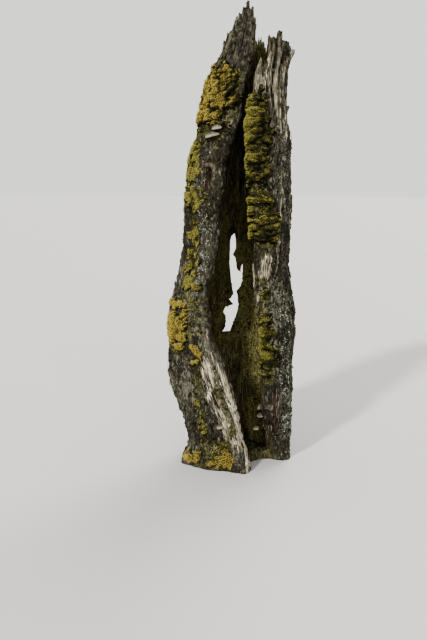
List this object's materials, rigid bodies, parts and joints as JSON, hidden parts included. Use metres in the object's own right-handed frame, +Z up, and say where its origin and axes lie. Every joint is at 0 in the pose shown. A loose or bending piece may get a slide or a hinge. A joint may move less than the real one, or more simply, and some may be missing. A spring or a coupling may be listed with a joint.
{
  "type": "standing dead tree",
  "caption": "Tall hollow trunk of a standing dead tree, split open down the front, with splintered tops, moss cushions and bracket fungi.",
  "frame": {"origin": "on the flat cut under the trunk at ground level, near the middle of the foot", "axes": "+Z up the trunk, -Y out of the open front of the hollow, +X to the right as seen from the front"},
  "size_m": [1.7095, 1.4047, 5.9],
  "materials": {
    "bark_wood": "rough grey bark with lichen",
    "bare_wood": "weathered silver-grey wood fibre",
    "rotten_wood": "dark, crumbling brown rot",
    "gold_moss": "thick golden moss",
    "olive_moss": "olive green moss",
    "bracket_fungus": "pale corky fungus"
  },
  "bodies": {
    "root": {"left_shell": "bark_wood", "back_wall": "rotten_wood", "right_shell": "bark_wood", "rotten_heart_floor": "rotten_wood", "stub_low_left": "bark_wood", "stub_upper_left": "bark_wood", "stub_back": "bark_wood", "knot_rim": "bare_wood", "burl_slit_left": "rotten_wood", "burl_slit_low": "rotten_wood", "burl_slit_top": "rotten_wood", "burl_slit_foot": "rotten_wood", "burl_left_flank": "bark_wood", "burl_right_flank": "bark_wood", "bracket_high": "bracket_fungus", "bracket_high_low": "bracket_fungus", "bracket_left_side": "bracket_fungus", "bracket_buttress": "bracket_fungus", "bracket_right_side": "bracket_fungus", "bracket_inside_1": "bracket_fungus", "bracket_inside_2": "bracket_fungus", "bracket_inside_3": "bracket_fungus", "bracket_inside_4": "bracket_fungus", "bark_sliver_tip": "bare_wood", "bark_sliver_shoulder": "bare_wood", "curled_splinter": "bare_wood", "front_splinter": "bare_wood", "bark_curl_right": "bare_wood", "bark_flake_right": "bare_wood", "bark_flake_low": "bare_wood", "bark_flake_back": "bare_wood", "lip_splinter": "bare_wood", "moss_crown": "gold_moss", "moss_shoulder": "olive_moss", "moss_band_left": "olive_moss", "moss_gold_patch": "gold_moss", "moss_below_gold": "gold_moss", "moss_streak_low": "olive_moss", "moss_foot_left": "gold_moss", "moss_foot_front": "gold_moss", "moss_lip_top": "olive_moss", "moss_lip_middle": "olive_moss", "moss_lip_patch": "olive_moss", "moss_lip_low": "olive_moss"}
  },
  "joints": []
}
